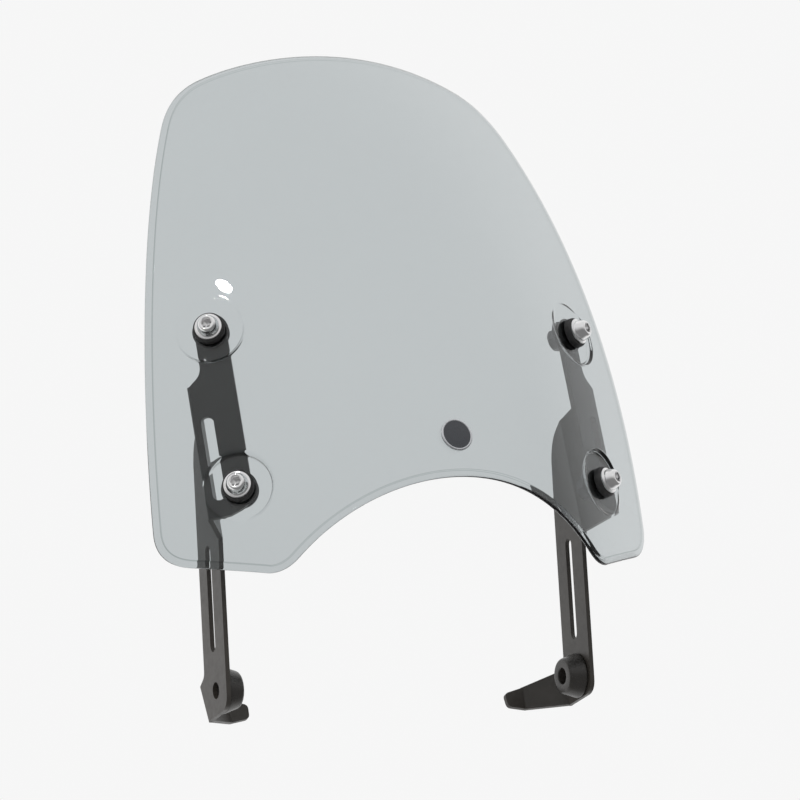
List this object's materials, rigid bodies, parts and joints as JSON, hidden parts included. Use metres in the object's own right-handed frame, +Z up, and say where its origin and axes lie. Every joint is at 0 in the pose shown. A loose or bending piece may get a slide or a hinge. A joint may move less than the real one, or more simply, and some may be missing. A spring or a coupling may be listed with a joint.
{
  "type": "motorcycle windshield screen",
  "caption": "Clear curved motorcycle windshield screen with a headlamp arch, on two folded black plate brackets that clamp at the headlamp bolts.",
  "frame": {"origin": "midway between the two headlamp-bolt holes, on their common axis", "axes": "+X along the headlamp-bolt axis to the right seen from the front, +Z up, -Y forward towards the wind"},
  "size_m": [0.358, 0.1707, 0.4548],
  "materials": {
    "screen": "clear, lightly smoked cast acrylic, polished on both faces and round the edge",
    "badge": "gloss domed resin",
    "powder_coat": "satin black powder coat with a fine grain",
    "spacer_coat": "satin black coat over a turned spacer",
    "polished_steel": "polished stainless steel",
    "rubber": "matt moulded rubber",
    "zinc": "black zinc-plated steel"
  },
  "bodies": {
    "lamp_mount": {"spacer_right": "spacer_coat", "spacer_left": "spacer_coat"},
    "screen_assembly": {"screen": "screen", "badge": "badge", "bracket_right": "powder_coat", "bracket_left": "powder_coat", "screw_upper_right": "polished_steel", "screw_upper_left": "polished_steel", "front_rubber_upper_right": "rubber", "front_rubber_upper_left": "rubber", "rear_rubber_upper_right": "rubber", "rear_rubber_upper_left": "rubber", "washer_upper_right": "zinc", "washer_upper_left": "zinc", "nut_upper_right": "zinc", "nut_upper_left": "zinc", "screw_lower_right": "polished_steel", "screw_lower_left": "polished_steel", "front_rubber_lower_right": "rubber", "front_rubber_lower_left": "rubber", "rear_rubber_lower_right": "rubber", "rear_rubber_lower_left": "rubber", "washer_lower_right": "zinc", "washer_lower_left": "zinc", "nut_lower_right": "zinc", "nut_lower_left": "zinc"}
  },
  "joints": [
    {"name": "screen_tilt", "type": "hinge", "parent": "lamp_mount", "child": "screen_assembly", "pos_m": [0, 0, 0], "axis": [1, 0, 0], "range_deg": [-8, 8]}
  ]
}
